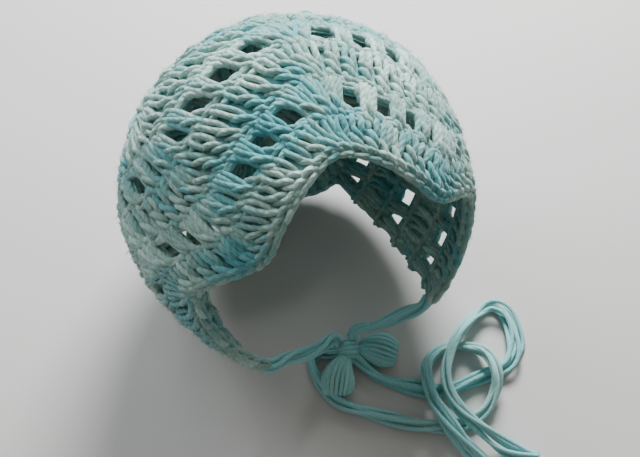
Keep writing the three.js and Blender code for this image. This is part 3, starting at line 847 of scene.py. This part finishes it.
# Where a tail's strands loosen: length along it, reach either way, and how much wider.
LOOSE_RIGHT = [(182, 16, 1.0), (70, 12, 0.35), (110, 14, 0.3)]
LOOSE_LEFT = [(72, 9, 1.1), (92, 8, 0.9), (172, 14, 1.0), (30, 12, 0.3)]
BUNDLE_STRANDS = 7
BUNDLE_RADIUS = 1.62
TAIL_TWIST = 0.04
CHIN_TWIST = 0.05
CHIN_SEED = 31
TABLE = -HEAD_RADIUS
LOW = TABLE + TIE_DIAMETER / 2
HIGH = LOW + 1.15 * TIE_DIAMETER + GAP
KNOT_RADIUS = KNOT_DIAMETER / 2
KNOT = np.array([0.5, -40.5, TABLE + KNOT_RADIUS + 0.1])


def curve_through(points, per_span=24):
    """A smooth curve through points: the centripetal spline that the frame's tubes follow."""
    p = np.asarray(points, float)
    ends = with_ends(p)
    t = np.linspace(0, 1, per_span, endpoint=False)[:, None]
    spans = []
    for i in range(len(p) - 1):
        a, b, c, d = ends[i:i + 4]
        da, db, dc = (max(np.linalg.norm(q - r) ** 0.5, 1e-3) for r, q in ((a, b), (b, c), (c, d)))
        m = ((b - a) / da - (c - a) / (da + db) + (c - b) / db) * db
        n = ((c - b) / db - (d - b) / (db + dc) + (d - c) / dc) * db
        spans.append(b + m * t + (3 * (c - b) - 2 * m - n) * t**2 + (2 * (b - c) + m + n) * t**3)
    return np.vstack([*spans, p[-1:]])


def evenly(line, step):
    """The line again, with points about step apart."""
    along = length_along(line)
    at = np.linspace(0, along[-1], max(4, int(along[-1] / step) + 1))
    return np.stack([np.interp(at, along, line[:, k]) for k in range(3)], 1)


def bundle(yarn, line, strand, rng, spread, tone, twist, flat=1.0, level=True):
    """Loose strands round a line: one in the middle and the others about it, which turn slowly and wander.

    Each lies out from the line by a radius that wavers, at an angle that grows with the length and sways.
    """
    along = unit(np.gradient(line, axis=0))
    side = unit(np.cross(along, np.array([0, 0, 1.0]) if level else unit(line)))
    upward = np.cross(side, along)
    length = length_along(line)
    paths, tones = [], []
    outside = BUNDLE_STRANDS - 1
    for k in range(BUNDLE_STRANDS):
        angle = 2 * np.pi * k / outside + twist * length + 0.8 * np.sin(length / 13 + k * 1.9)
        reach = 0.0 if k == outside else BUNDLE_RADIUS
        wander = 0.36 * np.sin(length / 9 + 2.1 * k) + 0.12 * np.sin(length / 4.1 + k)
        out = (reach + wander) * spread
        path = line + side * (out * np.cos(angle))[:, None] + upward * (out * np.sin(angle) * flat)[:, None]
        path[:, 2] = np.maximum(path[:, 2], TABLE + strand * 0.54)
        paths.append(path)
        tones.append(tone(length) + rng.normal(0, 0.08))
    radius = strand / 2 * (1 + 0.05 * np.sin(length[None] / 3.3 + np.arange(BUNDLE_STRANDS)[:, None]))
    normals = np.array([upward] * BUNDLE_STRANDS)
    yarn.tubes(np.array(paths), radius, np.clip(np.array(tones), 0, 1), normals=normals)


def tail(name, route, settings, material, spread_at, tone):
    """A free tail of a tie, laid over the table along its route."""
    points = [(x, y, LOW + (HIGH - LOW) * level) for x, y, level in route]
    line = evenly(curve_through(points), 1.2)
    length = length_along(line)
    spread = np.ones(len(line))
    for at, reach, more in spread_at:
        spread += more * np.exp(-(((length - at) / reach) ** 2))
    yarn = Yarn()
    rng = np.random.default_rng(len(name))
    flat = 1 / np.maximum(spread, 1)
    bundle(yarn, line, settings.tie_strand, rng, spread, tone, TAIL_TWIST, flat)
    obj = yarn.mesh(name, material)
    return obj, line, float(length[-1])


def chin_route(side):
    """A tie's hidden stretch: from a corner of the front row, close round under the chin, to the knot."""
    column = side * END_COLUMN
    corner = on_fabric(column, 0.4, 0)
    beyond = unit(corner - on_fabric(side * (END_COLUMN - 0.5), 0.4, 0))
    start = corner + beyond * (2 * GAP + TIE_DIAMETER * 0.1)
    way = unit(np.array([side * 0.55, 0.5, 0.68]))
    end = KNOT + way * (KNOT_RADIUS + 2 * GAP)
    before = KNOT + way * (KNOT_RADIUS + 2 * GAP + TIE_DIAMETER * 0.6)
    close = HEAD_RADIUS + TIE_DIAMETER / 2 + GAP
    points = [start, start + beyond * TIE_DIAMETER * 0.8]
    first, last = unit(points[1]), unit(before)
    for share in (0.25, 0.5, 0.75):
        mean = np.linalg.norm(points[1]) * (1 - share) + np.linalg.norm(before) * share
        points.append(unit(first * (1 - share) + last * share) * max(close, mean * 0.97))
    return curve_through([*points, before, end])


def chin_tie(name, side, settings, material):
    """The bundle from a corner to the knot."""
    line = evenly(chin_route(side), 1.0)
    yarn = Yarn()
    bundle(yarn, line, settings.tie_strand, np.random.default_rng(CHIN_SEED + side), np.ones(len(line)),
           lambda s: 0.62 + 0.1 * np.sin(s / 12), CHIN_TWIST, level=False)
    return yarn.mesh(name, material), line


# The bow's loops, which begin inside the knot: middle, width and height in diameters of the tie, and rise.
LOOP_RIGHT = [(-0.8, -43.0, 0.8, 1.0, 0.5), (-3.6, -45.0, 1.5, 1.3, 2.0), (-6.2, -47.8, 2.2, 1.5, 2.8),
              (-8.0, -50.8, 2.6, 1.5, 2.6), (-9.2, -53.4, 2.5, 1.2, 1.8), (-9.8, -55.0, 2.0, 0.6, 1.4)]
LOOP_LEFT = [(3.4, -41.2, 0.8, 1.0, 0.5), (6.2, -42.0, 1.6, 1.5, 0.2), (9.4, -43.4, 2.4, 1.75, 0.0),
             (12.6, -45.2, 2.8, 1.65, 0.0), (15.2, -46.8, 2.5, 1.3, 0.0), (16.8, -47.8, 1.9, 0.7, 0.2)]
LOOP_STRANDS = 10
LOOP_RINGS = 26
SMOOTHINGS = 3


def bow_loop(name, rows, settings, material, tone):
    """A loop of the bow: strands that fan out from the knot over a plump form and come back under it.

    Each runs over an ellipse's upper half and back under its lower half, smoothed where it turns.
    """
    table = np.array(rows, float)
    middle = np.column_stack([table[:, :2], TABLE + table[:, 3] * TIE_DIAMETER / 2 + table[:, 4]])
    share = np.linspace(0, 1, LOOP_RINGS)
    weights = spline_weights(len(table), LOOP_RINGS)
    line, wide, tall = weights @ middle, weights @ table[:, 2], weights @ table[:, 3]
    wide, tall = (np.maximum(v, 0.1) * TIE_DIAMETER / 2 for v in (wide, tall))
    along = unit(np.gradient(line, axis=0))
    side = unit(np.column_stack([-along[:, 1], along[:, 0], np.zeros(len(line))]))
    upward = np.cross(along, side)
    thin = settings.tie_strand / 2
    yarn = Yarn()
    paths = []
    for k in range(LOOP_STRANDS):
        angle = np.pi * (k + 0.5) / LOOP_STRANDS
        swirl = 0.35 * share
        up = line + side * ((wide - thin) * np.cos(angle + swirl))[:, None]
        up = up + upward * ((tall - thin) * np.sin(angle + swirl))[:, None]
        down = line + side * ((wide - thin) * np.cos(angle))[:, None]
        down = down - upward * ((tall - thin) * np.sin(angle) * 0.95)[:, None]
        path = np.vstack([up[:-1], down[::-1]])
        for _ in range(SMOOTHINGS):
            path[1:-1] = 0.25 * path[:-2] + 0.5 * path[1:-1] + 0.25 * path[2:]
        paths.append(path)
    paths = np.array(paths)
    normals = unit(paths - line[len(line) // 2])
    tones = tone + 0.25 * np.sin(np.arange(LOOP_STRANDS) * 2.4)[:, None] + np.zeros(paths.shape[:2])
    yarn.tubes(paths, thin * 0.92, np.clip(tones, 0, 1), normals=normals)
    return yarn.mesh(name, material)


# The knot's windings: axis, turns, tone and size.
WINDINGS = (((0.25, 1, 0.15), 5, 0.7, 1.0), ((1, 0.2, -0.3), 4, 0.55, 0.86))


def bow_knot(settings, material):
    """The knot: turns of the bundle wound close round its middle, on two leaning axes.

    Each turn is a circle on the knot's round form, with a slow wave along the axis.
    """
    yarn = Yarn()
    thin = settings.tie_strand / 2
    reach = KNOT_RADIUS - thin
    for axis, count, tone, size in WINDINGS:
        axis = unit(np.array(axis))
        first = unit(np.cross(axis, (0, 0, 1.0)))
        second = np.cross(axis, first)
        turn = np.linspace(0, 2 * np.pi, 33)
        paths = []
        for k in range(count):
            at = (k - (count - 1) / 2) * thin * 1.75
            ring = math.sqrt(max(reach * reach - at * at, 1.0)) * size
            wave = at + 0.25 * np.sin(turn * 2 + k)
            circle = first * np.cos(turn)[:, None] + second * np.sin(turn)[:, None]
            paths.append(KNOT + axis * wave[:, None] + ring * circle)
        paths = np.array(paths)
        normals = unit(paths - KNOT)
        yarn.tubes(paths, thin, np.full(paths.shape[:2], tone), normals=normals)
    return yarn.mesh("bow_knot_yarn", material)


def metres(point):
    """A point of the head's frame as a tuple in metres in the row's frame."""
    return tuple(float(v) / 1000 for v in (point[0], point[1], point[2] - SEAT))


def dress(piece, node):
    """Puts a piece on the body that it rides on, and hides the frame's node that it replaces."""
    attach(piece, "root")
    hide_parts(node)


def in_metres(line):
    """A line's points as tuples in metres."""
    return [metres(p) for p in line]


class YarnSettings(bpy.types.PropertyGroup):
    """The yarn's thickness, fibres, spin and dyes."""

    strand: FloatProperty(
        name="Strand", description="Thickness of the crocheted yarn, in mm", default=2.15, min=1)
    tie_strand: FloatProperty(
        name="Tie strand", description="Thickness of a tie's strands, in mm", default=1.7, min=0.5)
    fibres: IntProperty(
        name="Fibres", description="Loose fibres on each row, and half as many on the crown",
        default=1400, min=0)
    plies: IntProperty(name="Plies", description="Ridges round the yarn", default=3, min=1)
    twist: FloatProperty(
        name="Twist", description="Turn of the plies along the yarn, in radians per mm", default=2.4)
    mint: FloatVectorProperty(
        name="Mint", description="Palest dye", subtype="COLOR", default=(0.56, 0.78, 0.71))
    grey_green: FloatVectorProperty(
        name="Grey green", description="Muted dye", subtype="COLOR", default=(0.30, 0.48, 0.42))
    aqua: FloatVectorProperty(
        name="Aqua", description="Middle dye", subtype="COLOR", default=(0.175, 0.48, 0.49))
    teal: FloatVectorProperty(
        name="Teal", description="Deepest dye", subtype="COLOR", default=(0.07, 0.32, 0.35))


class StageSettings(bpy.types.PropertyGroup):
    """The plain floor under the bonnet."""

    floor_size: FloatProperty(
        name="Floor", description="Width of the floor", default=6, min=1, subtype="DISTANCE")
    floor_colour: FloatVectorProperty(
        name="Floor colour", description="Colour of the floor", subtype="COLOR",
        default=(0.635, 0.615, 0.595))


class BonnetOperator:
    """What the operators share."""

    bl_options = {"REGISTER", "UNDO"}

    def settings(self, context):
        return context.scene.bonnet_yarn

    def material(self, context, name="soft_plied_yarn", pale=0.0):
        return bpy.data.materials.get(name) or yarn_material(name, self.settings(context), pale)


class BONNET_OT_rows(BonnetOperator, bpy.types.Operator):
    """Work the scalloped front row and the lace rows behind it"""

    bl_idname = "bonnet.rows"
    bl_label = "Work the rows"

    def execute(self, context):
        for row in range(1, LAST_ROW + 1):
            piece = row_of_stitches(row, self.settings(context), self.material(context))
            dress(piece, "front_edging" if row == 1 else "lace_body")
        return {"FINISHED"}


class BONNET_OT_crown(BonnetOperator, bpy.types.Operator):
    """Work the crown in rounds"""

    bl_idname = "bonnet.crown"
    bl_label = "Work the crown"

    def execute(self, context):
        piece = crown_stitches(self.settings(context), self.material(context))
        dress(piece, "crown")
        return {"FINISHED"}


class BONNET_OT_ties(BonnetOperator, bpy.types.Operator):
    """Tie the bow, and lay its tails over the table"""

    bl_idname = "bonnet.ties"
    bl_label = "Tie the bow"

    def execute(self, context):
        yarn = self.settings(context)
        material = self.material(context, "tie_yarn_strands", TIE_PALENESS)
        knot = bow_knot(yarn, material)
        loops = {
            "right": bow_loop("bow_loop_right_yarn", LOOP_RIGHT, yarn, material, 0.45),
            "left": bow_loop("bow_loop_left_yarn", LOOP_LEFT, yarn, material, 0.72),
        }
        dress(knot, "bow_knot")
        dress(loops["right"], "bow_loop_right")
        dress(loops["left"], "bow_loop_left")
        for name, route, spread_at, tone in (
            ("right", TAIL_RIGHT, LOOSE_RIGHT, lambda s: 0.42 + 0.22 * np.sin(s / 22 + 0.4)),
            ("left", TAIL_LEFT, LOOSE_LEFT, lambda s: 0.62 + 0.22 * np.sin(s / 26)),
        ):
            piece, line, length = tail(f"tie_tail_{name}_yarn", route, yarn, material, spread_at, tone)
            dress(piece, f"tie_tail_{name}")
            metres(line[0])
            length / 1000
            in_metres(line)
            [loops[name]] + ([knot] if name == "right" else [])
        for name, side in (("left", 1), ("right", -1)):
            piece, line = chin_tie(f"chin_tie_{name}_yarn", side, yarn, material)
            dress(piece, f"chin_tie_{name}")
            length = float(length_along(line)[-1])
            metres(line[0])
            length / 1000
            in_metres(line)
        return {"FINISHED"}


# The camera: its place from the head's middle in mm, and its right, up and backward ways.
CAMERA_PLACE = (-81.6, -205.8, 427.3)
CAMERA_RIGHT = Vector((0.92756, -0.37360, 0.00757))
CAMERA_BACK = Vector((-0.17110, -0.40663, 0.89743))
CAMERA_LENS = 50.0
CAMERA_SENSOR = 23.6

# Soft lights: place from the head's middle and size in m, power in W, colour.
LIGHTS = [
    ("window", (0.22, 0.37, 0.29), 0.24, 7.8, (0.96, 0.99, 1.0)),
    ("sky", (-0.3, 0.6, 0.62), 0.7, 4.8, (0.86, 0.95, 1.0)),
]
ROOM_COLOUR = (1.0, 0.97, 0.93)
ROOM_STRENGTH = 0.24


class BONNET_OT_stage(BonnetOperator, bpy.types.Operator):
    """Set the floor, the lights and the camera"""

    bl_idname = "bonnet.stage"
    bl_label = "Set the stage"

    def execute(self, context):
        stage = context.scene.bonnet_stage
        half = stage.floor_size / 2
        height = (TABLE - SEAT) / 1000
        mesh = bpy.data.meshes.new("floor")
        corners = [(-half, -half), (half, -half), (half, half), (-half, half)]
        mesh.from_pydata([(x, y, height) for x, y in corners], [], [(0, 1, 2, 3)])
        mesh.materials.append(floor_material(tuple(stage.floor_colour)))
        floor = bpy.data.objects.new("floor", mesh)
        context.scene.collection.objects.link(floor)
        middle = Vector((0, 0, -SEAT / 1000))
        for name, place, size, power, colour in LIGHTS:
            data = bpy.data.lights.new(name, "AREA")
            data.shape, data.size, data.energy, data.color = "DISK", size, power, colour
            light = bpy.data.objects.new(name, data)
            light.location = middle + Vector(place)
            light.rotation_euler = Vector(place).to_track_quat("Z", "Y").to_euler()
            context.scene.collection.objects.link(light)
        world = bpy.data.worlds.new("pale_room")
        world.use_nodes = True
        background = world.node_tree.nodes["Background"]
        background.inputs["Color"].default_value = (*ROOM_COLOUR, 1)
        background.inputs["Strength"].default_value = ROOM_STRENGTH
        context.scene.world = world
        self.camera(context)
        return {"FINISHED"}

    def camera(self, context):
        """Makes the scene's camera from its place and its ways"""
        data = bpy.data.cameras.new("camera")
        data.lens, data.sensor_width, data.sensor_fit = CAMERA_LENS, CAMERA_SENSOR, "HORIZONTAL"
        camera = bpy.data.objects.new("camera", data)
        back = CAMERA_BACK.normalized()
        right = (CAMERA_RIGHT - CAMERA_RIGHT.dot(back) * back).normalized()
        turn = Matrix((right, back.cross(right), back)).transposed().to_4x4()
        camera.matrix_world = Matrix.Translation(metres(CAMERA_PLACE)) @ turn
        context.scene.collection.objects.link(camera)
        context.scene.camera = camera


class BONNET_PT_panel(bpy.types.Panel):
    """The bonnet's sizes, colours and steps"""

    bl_idname = "BONNET_PT_panel"
    bl_label = "Bonnet"
    bl_space_type = "VIEW_3D"
    bl_region_type = "UI"
    bl_category = "Bonnet"

    def draw(self, context):
        for group in (context.scene.bonnet_yarn, context.scene.bonnet_stage):
            for key in group.bl_rna.properties.keys():
                if key not in ("rna_type", "name"):
                    self.layout.prop(group, key)
        for operator in OPERATORS:
            self.layout.operator(operator.bl_idname)


OPERATORS = (BONNET_OT_stage, BONNET_OT_ties, BONNET_OT_rows, BONNET_OT_crown)
CLASSES = (YarnSettings, StageSettings, *OPERATORS, BONNET_PT_panel)


def register():
    """Registers the classes and the scene's settings."""
    for cls in CLASSES:
        bpy.utils.register_class(cls)
    bpy.types.Scene.bonnet_yarn = PointerProperty(type=YarnSettings)
    bpy.types.Scene.bonnet_stage = PointerProperty(type=StageSettings)


def unregister():
    """Takes the settings and the classes out again."""
    del bpy.types.Scene.bonnet_yarn
    del bpy.types.Scene.bonnet_stage
    for cls in reversed(CLASSES):
        bpy.utils.unregister_class(cls)


def main():
    """Sets the stage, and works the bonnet."""
    register()
    bpy.ops.bonnet.stage()
    bpy.ops.bonnet.ties()
    bpy.ops.bonnet.rows()
    bpy.ops.bonnet.crown()


if __name__ == "__main__":
    main()
